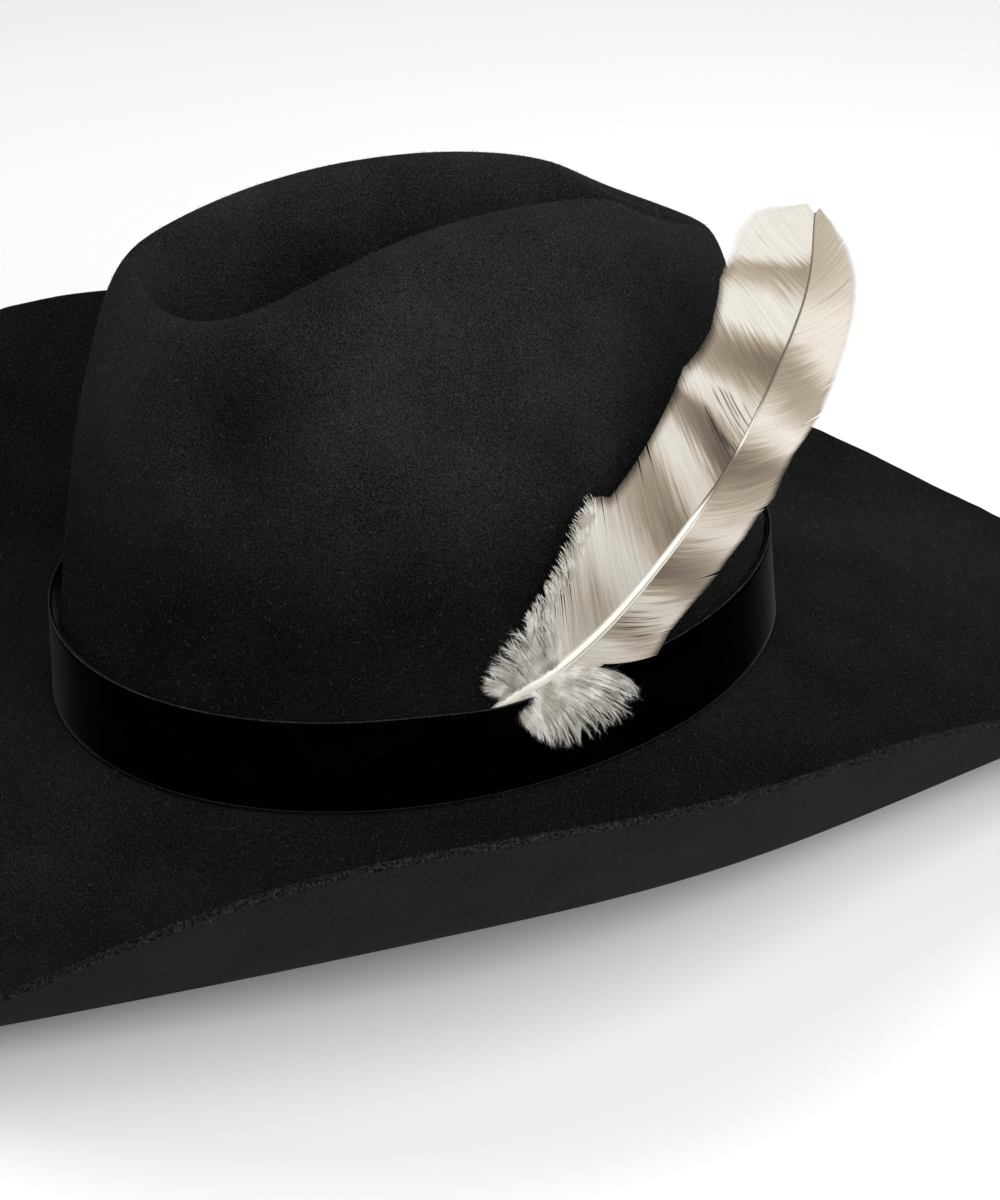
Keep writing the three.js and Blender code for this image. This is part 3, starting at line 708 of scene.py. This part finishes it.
QUILL_CREAM = (0.8, 0.775, 0.7, 1.0)
QUILL_BROWN = (0.13, 0.098, 0.068, 1.0)
QUILL_ALONG = [                          # how brown it is at distances from the ribbon's top edge
    (0, 0.0), (66, 0.05), (73, 0.6), (77, 1.0), (83, 0.95), (88, 0.15), (95, 0.3), (104, 0.85), (150, 0.9),
]
quill_finish, start = new_finish("cream_quill")
along_mm, side_share = stored(start, "quill_along"), stored(start, "quill_side")
lengthwise = start.node("ShaderNodeCombineXYZ", {}, {"X": along_mm * 0.08, "Y": side_share * 2.0})
streak = start.node("ShaderNodeTexNoise", {}, {"Vector": lengthwise, "Scale": 3.0, "Detail": 3.0}, "Fac")
thread = start.node("ShaderNodeValToRGB", {"stops": [(mm / FEATHER_LENGTH, b) for mm, b in QUILL_ALONG]},
                    {"Fac": along_mm * (1 / FEATHER_LENGTH)})
hollow_line = side_share.between(-0.1, 0.05) - side_share.between(0.15, 0.3)
hollow_line = hollow_line * along_mm.between(6.0, 22.0) * 0.55
sides = (side_share * side_share).between(0.4, 0.95) * 0.4
brown_share = (thread + hollow_line + sides + streak * 0.18).between(0.05, 1.0)
close_finish(start, {
    "Base Color": brown_share.blend(QUILL_CREAM, QUILL_BROWN), "Roughness": 0.38,
    "Subsurface Weight": 0.15, "Subsurface Radius": (0.002, 0.0014, 0.0008), "Subsurface Scale": 0.5})
hand_in(feather_quill, quill_finish, "feather_shaft")

# Vanes
# On each side of the shaft hundreds of barbs grow out and forwards and hook together into a
# sheet, parted here and there. They are cream, barred with brown, and the bars are drawn out
# along the barbs. Distances run up from the ribbon's top edge, in millimetres.
REAR_WIDTHS = [                          # distance, width
    (0, 10), (8, 14), (16, 16.5), (24, 18.5), (35, 21.5), (46, 25), (53, 26.4), (55.5, 25), (57.5, 22.4),
    (66, 22.4), (80, 22.8), (90, 23.2), (99, 23.7), (106, 21.9), (112, 21.3), (120, 22.6), (127, 23.6),
    (136, 22.5), (142, 21.2), (145.5, 20.2), (148.3, 18), (150, 16.2), (151, 11), (151.3, 3),
    (151.5, 0),
]
FRONT_WIDTHS = [
    (24.5, 9), (25.4, 15), (26.2, 19.3), (27.6, 20), (30.1, 21.7), (32.7, 21.5), (40.2, 18.2), (47.5, 18.2),
    (56.7, 18.5), (62, 18.3), (68.7, 18.7), (74.9, 18.2), (80, 19.7), (84.3, 18.5), (90.6, 17.9),
    (97.1, 19.5), (102.6, 20.7), (110.9, 20.2), (120.3, 19.1), (126.6, 17.3), (132.8, 14.8), (140.2, 10.1),
    (146.3, 5.2), (150.3, 1.2), (151.5, 0),
]
# Distance, and how far forward the bars run for each millimetre out
REAR_SLANTS = [(0, 0.1), (54, 0.2), (66, 0.4), (78, 0.5), (92, 0.5), (102, 0.0), (154, 0.0)]
FRONT_SLANTS = [(0, 0.25), (85, 0.25), (100, -0.35), (115, -0.35), (126, 0.0), (154, 0.0)]
BARB_SPACING = 0.3
BARB_WIDTH = 0.34
BARB_HEIGHT = 0.16
BARB_STEPS = 14
BARB_OVERLAP = 1.35                      # width over spacing
BARB_SEAT = 0.7                          # where a barb starts, in half widths of the shaft
BARB_LEAN, BARB_CURVE = 0.5, 0.011       # forwards for each millimetre out, and for its square
TIP_FROM, TIP_LENGTH, TIP_LEAN = 112.0, 38.0, 1.6
LONGEST_BARB, LONGEST_STEPS = 30.0, 600
BARB_STRAY, BARB_LIFT, BARB_THINNING = 0.06, 0.015, 0.85
LOCKS, LOCK_LENGTHS, FIRST_LOCK = 40, (5.0, 22.0), 4.0
LOCK_DRAW, LOCK_DRAW_MORE = 0.04, 0.9    # how far its barbs draw together: all locks, some locks
LOCK_LIFTS = (-0.12, 0.22)
FREE_FADE = 14.0                         # over this length loose barbs at the root close up
FREE_STRAY, FREE_BEND, FREE_LIFT, FREE_THINNING = 0.5, 0.4, 0.5, 0.4
VANE_CAMBER = 3.0
VANE_HALF_WIDTH = 22.0


def barb_forwards(root, out_mm):
    """Where barbs have come along the feather at distances out from the shaft, more so at the tip."""
    forward = 1 + TIP_LEAN * np.clip((root - TIP_FROM) / TIP_LENGTH, 0, 1) ** 2
    return root[:, None] + (BARB_LEAN * out_mm + BARB_CURVE * out_mm ** 2) * forward[:, None]


def make_vane(name, node, side, widths, slants, finish, roots, free_until, seed):
    """Barbs from one side of the shaft, each run out to the vane's outline and parted in locks."""
    luck = np.random.default_rng(seed)
    table_at, table_width = np.array(widths, float).T
    root = np.arange(roots[0], roots[1], BARB_SPACING)
    tries = np.linspace(0, LONGEST_BARB, LONGEST_STEPS + 1)
    outside = tries > np.interp(barb_forwards(root, tries), table_at, table_width)
    reach = tries[np.argmax(outside, axis=1)]
    free = np.clip((free_until - root) / FREE_FADE, 0, 1)
    reach = reach + luck.normal(0, BARB_STRAY + FREE_STRAY * free)
    share = np.linspace(0, 1, BARB_STEPS + 1)
    across_mm = reach[:, None] * share
    start_mm = shaft_half_width(root) * BARB_SEAT
    across_mm = start_mm[:, None] + across_mm * (1 - start_mm / np.maximum(reach, 1.0))[:, None]
    # Locks of barbs draw together towards their ends and leave fine partings
    partings = np.cumsum(luck.uniform(*LOCK_LENGTHS, LOCKS)) + roots[0]
    lock = np.searchsorted(partings, root)
    edges = np.r_[roots[0] - FIRST_LOCK, partings]
    middle = (edges[lock] + edges[lock + 1]) / 2
    half = (edges[lock + 1] - edges[lock]) / 2
    draw = (luck.uniform(0.0, 1.0, len(edges)) ** 4 * LOCK_DRAW_MORE + LOCK_DRAW)[lock]
    pull = -draw * ((root - middle) / half) ** 3
    along_mm = barb_forwards(root, across_mm) + pull[:, None] * share ** 3
    along_mm = along_mm + (free * luck.normal(0, FREE_BEND, len(root)))[:, None] * share ** 2
    lift = luck.uniform(*LOCK_LIFTS, len(edges))[lock][:, None] * share ** 2
    lift = lift + (free * luck.normal(0, FREE_LIFT, len(root)))[:, None] * share ** 2
    lift = lift + luck.normal(0, BARB_LIFT, len(root))[:, None]
    camber = -VANE_CAMBER * (across_mm / VANE_HALF_WIDTH) ** 2
    centre, _, out, across = feather_frame(along_mm)
    spine = centre + across * (side * across_mm)[..., None] + out * (camber + lift)[..., None]
    direction = np.gradient(spine, axis=1)
    sideways = np.cross(out, direction)
    sideways /= np.linalg.norm(sideways, axis=-1, keepdims=True)
    slim = (1 - FREE_THINNING * free[:, None] * share) * (1 - BARB_THINNING * share ** 8)
    spacing = np.abs(np.sum(np.gradient(spine, axis=0) * sideways, -1))
    width = (np.maximum(BARB_WIDTH, spacing * BARB_OVERLAP) / 2 * slim)[..., None]
    height = (BARB_HEIGHT * slim)[..., None]
    corners = np.stack([spine - sideways * width, spine + sideways * width, spine + out * height], 2)
    numbers = np.arange(corners.size // 3).reshape(len(root), BARB_STEPS + 1, 3)
    faces = [np.stack([numbers[:, :-1, a], numbers[:, :-1, b], numbers[:, 1:, b], numbers[:, 1:, a]], -1)
             .reshape(-1, 4) for a, b in ((0, 1), (1, 2), (2, 0))]
    faces = np.concatenate(faces).tolist()
    faces += numbers[:, 0, ::-1].tolist() + numbers[:, -1].tolist()
    piece = plain_object(name, corners.reshape(-1, 3), faces, smooth=False)
    slant = np.interp(along_mm, *np.array(slants, float).T)
    bar_place = np.repeat((along_mm - slant * across_mm)[..., None], 3, 2)
    root_place = np.broadcast_to(root[:, None, None], bar_place.shape)
    share_place = np.broadcast_to((across_mm / VANE_HALF_WIDTH)[..., None], bar_place.shape)
    point_values(piece.data, "barb_place",
                 np.stack([bar_place, root_place, share_place], -1).reshape(-1, 3), "FLOAT_VECTOR")
    point_values(piece.data, "barb_share", np.broadcast_to(share[:, None], bar_place.shape))
    hand_in(piece, finish, node)


BAR_COLOURS = [(0.0, (0.60, 0.585, 0.545, 1.0)), (0.2, (0.49, 0.445, 0.38, 1.0)),
               (0.45, (0.30, 0.25, 0.19, 1.0)), (0.7, (0.165, 0.128, 0.09, 1.0)),
               (0.88, (0.075, 0.059, 0.044, 1.0)), (1.0, (0.033, 0.027, 0.022, 1.0))]
BAR_SCALE = 160.0                        # the length that a table of bars is spread over
LOCK_DRIFT, BARB_DRIFT = 9.0, 4.0        # how far the bars are drawn out along the feather
LOW_FROM, LOW_TO = 30.0, 58.0            # below this the streaks are stronger


def vane_finish(name, bars, streak_from, streak_to, streak_out, seed):
    """Barbs barred by a table of how brown they are along the feather, with one streaked stretch."""
    finish, start = new_finish(name)
    parts = start.node("ShaderNodeSeparateXYZ", {}, {0: stored(start, "barb_place", "Vector")})
    at, root, out_share = parts.out("X"), parts.out("Y"), parts.out("Z")

    def barb_noise(fine, lengthwise, offset):
        """Noise that runs along the barbs and changes from one to the next."""
        vector = start.node("ShaderNodeCombineXYZ", {}, {
            "X": root * fine, "Y": out_share * lengthwise, "Z": seed + offset})
        return start.node("ShaderNodeTexNoise", {}, {"Vector": vector, "Scale": 1.0, "Detail": 2.0}, "Fac")

    broad = barb_noise(fine=0.9, lengthwise=1.6, offset=0.0) - 0.5
    narrow = barb_noise(fine=2.8, lengthwise=1.0, offset=3.0) - 0.5
    drawn_out = at + broad * LOCK_DRIFT + narrow * BARB_DRIFT
    brown = start.node("ShaderNodeValToRGB", {"stops": [(p / BAR_SCALE, s) for p, s in bars]},
                       {"Fac": drawn_out * (1 / BAR_SCALE)})
    brown = brown * (1.1 - out_share.between(0.0, 1.1) * 0.25)
    low_streaks = 0.12 + (1.0 - at.between(LOW_FROM, LOW_TO)) * 0.5
    fine_streaks = (barb_noise(fine=3.0, lengthwise=1.2, offset=7.0) - 0.5) * 0.36
    broad_streaks = (barb_noise(fine=1.1, lengthwise=0.8, offset=9.0) - 0.5) * low_streaks
    cluster = at.between(streak_from, streak_from + 3) - at.between(streak_to - 3, streak_to)
    cluster = cluster * (1.0 - out_share.between(streak_out * 0.7, streak_out))
    dark_barbs = barb_noise(fine=1.5, lengthwise=0.9, offset=11.0).between(0.53, 0.62) * cluster * 0.62
    dark_ends = stored(start, "barb_share").between(0.86, 1.0) * 0.25
    amount = brown + (fine_streaks + broad_streaks) + dark_barbs + dark_ends
    colour = start.node("ShaderNodeValToRGB", {"stops": BAR_COLOURS}, {"Fac": amount})
    close_finish(start, {
        "Base Color": colour, "Roughness": 0.55, "Specular IOR Level": 0.35, "Sheen Weight": 0.15,
        "Subsurface Weight": 0.12, "Subsurface Radius": (0.003, 0.0022, 0.0015), "Subsurface Scale": 0.4})
    return finish


REAR_BARS = [                            # distance, how brown it is
    (0, 0.16), (20, 0.15), (26, 0.25), (30, 0.32), (35, 0.28), (39, 0.15), (46, 0.1), (50, 0.22),
    (55, 0.48), (59, 0.62), (63, 0.55), (66, 0.2), (70, 0.05), (74, 0.14), (77, 0.46), (80, 0.72),
    (83, 0.8), (86, 0.4), (89, 0.14), (94, 0.05), (97, 0.08), (101, 0.36), (106, 0.64), (110, 0.68),
    (113, 0.5), (116, 0.06), (125, 0.08), (130, 0.38), (135, 0.5), (139, 0.06), (154, 0.08),
]
FRONT_BARS = [
    (0, 0.13), (26, 0.13), (29, 0.4), (32, 0.45), (38, 0.15), (42, 0.2), (46, 0.6), (49, 0.74),
    (53, 0.68), (57, 0.48), (61, 0.2), (64, 0.15), (69, 0.32), (76, 0.56), (80, 0.7), (83, 0.72),
    (87, 0.48), (91, 0.2), (96, 0.1), (101, 0.3), (106, 0.5), (111, 0.55), (115, 0.36),
    (119, 0.14), (124, 0.16), (129, 0.34), (134, 0.42), (144, 0.4), (152, 0.4),
]
rear_finish = vane_finish("barred_rear_vane", REAR_BARS,
                          streak_from=82.0, streak_to=98.0, streak_out=0.75, seed=2.0)
front_finish = vane_finish("barred_front_vane", FRONT_BARS,
                           streak_from=30.0, streak_to=39.5, streak_out=0.7, seed=6.0)
make_vane("vane_rear", "feather_vane_rear", -1, REAR_WIDTHS, REAR_SLANTS, rear_finish,
          roots=(12.0, 148.6), free_until=30.0, seed=21)
make_vane("vane_front", "feather_vane_front", 1, FRONT_WIDTHS, FRONT_SLANTS, front_finish,
          roots=(14.0, 148.6), free_until=20.0, seed=22)

# Down
# Loose fluffy plumes at the root of the feather, on both sides of the quill. Each is a soft
# thread set all round with finer ones. The front ones lie over the ribbon, and at the rear short
# ones fringe the vane's lower edge.
DOWN_THREAD = 0.00006
DOWN_HAIR_LENGTH = 0.0026
DOWN_HAIR_THICKNESS = 0.000022
DOWN_HAIRS = 34
DOWN_HAIR_LAYERS = 3
DOWN_HAIR_LEAN = (math.radians(14), math.radians(42))
DOWN_HAIR_STRETCH = (0.5, 1.25)
DOWN_HAIR_START, DOWN_HAIR_LOSS = 1.15, 0.6  # size at a plume's root, and what it loses to the tip
DOWN_SHADE = (0.58, 0.535, 0.46, 1.0)
DOWN_WHITE = (0.95, 0.94, 0.9, 1.0)
PLUME_POINTS = 12
PLUME_SEAT = 0.9                         # from the shaft's centre to where a plume starts
FAN_STRAY, ROOT_STRAY, TIP_STRAY = 0.06, 0.05, 0.7
PLUME_KNEE = 0.55                        # where along it a plume bends most
PLUME_DEPTHS, PLUME_BULGES = (-0.3, 0.9), (0.3, 1.4)
PLUME_LENGTHS, PLUME_EVENNESS = (0.45, 1.0), 0.6  # shares of the way to the tuft's outline
PLUME_BENDS, BEND_STRAY = (0.05, 0.3), 0.07
FRINGE_FROM, FRINGE_TO, FRINGE_CROWDING = 13.0, 50.0, 1.3
FRINGE_RUN = (2.0, 5.5)                  # how much further up a fringe plume's tip is
FRINGE_INSIDE, FRINGE_OUTSIDE = (-5.0, -2.0), (-0.5, 1.8)
FRINGE_LIFT = 0.5
FRINGE_FLUFF = 0.5

REAR_TIPS = [                            # y and z of the tuft's outline, root first
    (19.5, 30.5), (18.5, 34.5), (16.5, 38.5), (13.5, 42.0), (9.5, 45.5), (5.5, 49.5), (0.5, 53.0),
]
FRONT_TIPS = [
    (9.0, 18.5), (4.5, 13.5), (-0.5, 11.5), (-6.0, 11.0), (-12.0, 12.5), (-17.0, 14.5), (-21.5, 18.5),
    (-22.0, 22.0),
]

down_finish, start = new_finish("pale_down")
close_finish(start, {
    "Base Color": grain(start, 260.0, 3.0).between(0.35, 0.65).blend(DOWN_SHADE, DOWN_WHITE),
    "Roughness": 0.8, "Sheen Weight": 0.2, "Subsurface Weight": 0.1, "Subsurface Scale": 0.4,
    "Subsurface Radius": (0.002, 0.002, 0.0018)})


def fringe_ends(plumes, luck):
    """Starts and tips of short plumes along the lower edge of the rear vane."""
    table_at, table_width = np.array(REAR_WIDTHS, float).T
    low = FRINGE_FROM + (FRINGE_TO - FRINGE_FROM) * luck.uniform(0, 1, plumes) ** FRINGE_CROWDING
    high = low + luck.uniform(*FRINGE_RUN, plumes)
    ends = []
    for at, past_edge in ((low, FRINGE_INSIDE), (high, FRINGE_OUTSIDE)):
        centre, _, out, across = feather_frame(at)
        reach = np.interp(at, table_at, table_width) + luck.uniform(*past_edge, plumes)
        camber = FRINGE_LIFT - VANE_CAMBER * (reach / VANE_HALF_WIDTH) ** 2
        ends.append(centre - across * reach[:, None] + out * camber[:, None])
    return ends


def make_down(name, node, side, tips, roots, tip_x, plumes, seed, fringe=0):
    """A fan of plumes from the quill to the tuft's outline, each fluffed out by a geometry tree."""
    luck = np.random.default_rng(seed)
    tips = np.array(tips, float)
    fan = np.linspace(0, 1, plumes)
    place = np.clip(fan + luck.normal(0, FAN_STRAY, plumes), 0, 1) * (len(tips) - 1)
    end = np.stack([np.interp(place, np.arange(len(tips)), tips[:, c]) for c in (0, 1)], -1)
    root_at = roots[0] + (roots[1] - roots[0]) * np.clip(fan + luck.normal(0, ROOT_STRAY, plumes), 0, 1)
    centre, along, out, across = feather_frame(root_at)
    first = centre + across * (side * PLUME_SEAT) + out * luck.uniform(*PLUME_DEPTHS, plumes)[:, None]
    length_share = luck.uniform(*PLUME_LENGTHS, plumes) ** PLUME_EVENNESS
    last = np.column_stack([tip_x + luck.normal(0, TIP_STRAY, plumes), end])
    last = first + (last - first) * length_share[:, None]
    if fringe:
        low_ends, high_ends = fringe_ends(fringe, luck)
        first, last = np.vstack([first, low_ends]), np.vstack([last, high_ends])
        along, out = (np.vstack([v, np.repeat(v[-1:], fringe, 0)]) for v in (along, out))
        plumes += fringe
    bend = along * luck.uniform(*PLUME_BENDS, plumes)[:, None]
    bend = bend + luck.normal(0, BEND_STRAY, (plumes, 3))
    length = np.linalg.norm(last - first, axis=1)[:, None]
    knee = first * (1 - PLUME_KNEE) + last * PLUME_KNEE + bend * length
    knee = knee + out * luck.uniform(*PLUME_BULGES, plumes)[:, None]
    t = np.linspace(0, 1, PLUME_POINTS)[None, :, None]
    lines = (1 - t) ** 2 * first[:, None] + 2 * t * (1 - t) * knee[:, None] + t ** 2 * last[:, None]
    numbers = np.arange(plumes * PLUME_POINTS).reshape(plumes, PLUME_POINTS)
    links = np.stack([numbers[:, :-1], numbers[:, 1:]], -1).reshape(-1, 2).tolist()
    piece = plain_object(name, lines.reshape(-1, 3), [], edges=links)
    point_values(piece.data, "share", np.tile(np.linspace(0, 1, PLUME_POINTS), plumes))
    fluff = np.where(np.arange(plumes) < plumes - fringe, 1.0, FRINGE_FLUFF)
    point_values(piece.data, "fluff", np.repeat(fluff, PLUME_POINTS))
    down_inputs = [("Thread thickness", "NodeSocketFloat", DOWN_THREAD),
                   ("Hair length", "NodeSocketFloat", DOWN_HAIR_LENGTH),
                   ("Hair thickness", "NodeSocketFloat", DOWN_HAIR_THICKNESS),
                   ("Hairs on a plume", "NodeSocketInt", DOWN_HAIRS)]
    start, given = new_tree(name, down_inputs)
    line = start.node("GeometryNodeMeshToCurve", {}, {"Mesh": given})
    profile = start.node("GeometryNodeCurvePrimitiveCircle", {"mode": "RADIUS"}, {
        "Resolution": 3, "Radius": given.out("Thread thickness")})
    threads = start.node("GeometryNodeCurveToMesh", {}, {
        "Curve": line, "Profile Curve": profile, "Fill Caps": True})
    share, fluff = (start.node("GeometryNodeInputNamedAttribute", {"data_type": "FLOAT"}, {"Name": label})
                    for label in ("share", "fluff"))
    dots = start.node("GeometryNodeCurveToPoints", {"mode": "COUNT"}, {
        "Curve": line, "Count": given.out("Hairs on a plume")})
    joined = [threads]
    for layer in range(DOWN_HAIR_LAYERS):
        taper = (DOWN_HAIR_START - share * DOWN_HAIR_LOSS) * fluff
        joined.append(hairs_on(start, dots, given.out("Hair thickness"), given.out("Hair length"),
                               spin=chance(start, 0.0, 2 * math.pi, seed=10 + layer),
                               lean=chance(start, *DOWN_HAIR_LEAN, seed=20 + layer),
                               size=chance(start, *DOWN_HAIR_STRETCH, seed=30 + layer) * taper))
    together = start.node("GeometryNodeJoinGeometry")
    for shape in joined:
        start.tree.links.new(shape.socket, together.socket.node.inputs[0])
    run_tree(piece, start, together, down_inputs, down_finish)
    hand_in(piece, down_finish, node)


make_down("down_rear", "feather_down_rear", -1, REAR_TIPS,
          roots=(-1.0, 15.0), tip_x=-83.4, plumes=150, seed=31, fringe=130)
make_down("down_front", "feather_down_front", 1, FRONT_TIPS,
          roots=(0.0, 16.0), tip_x=-88.0, plumes=230, seed=32)
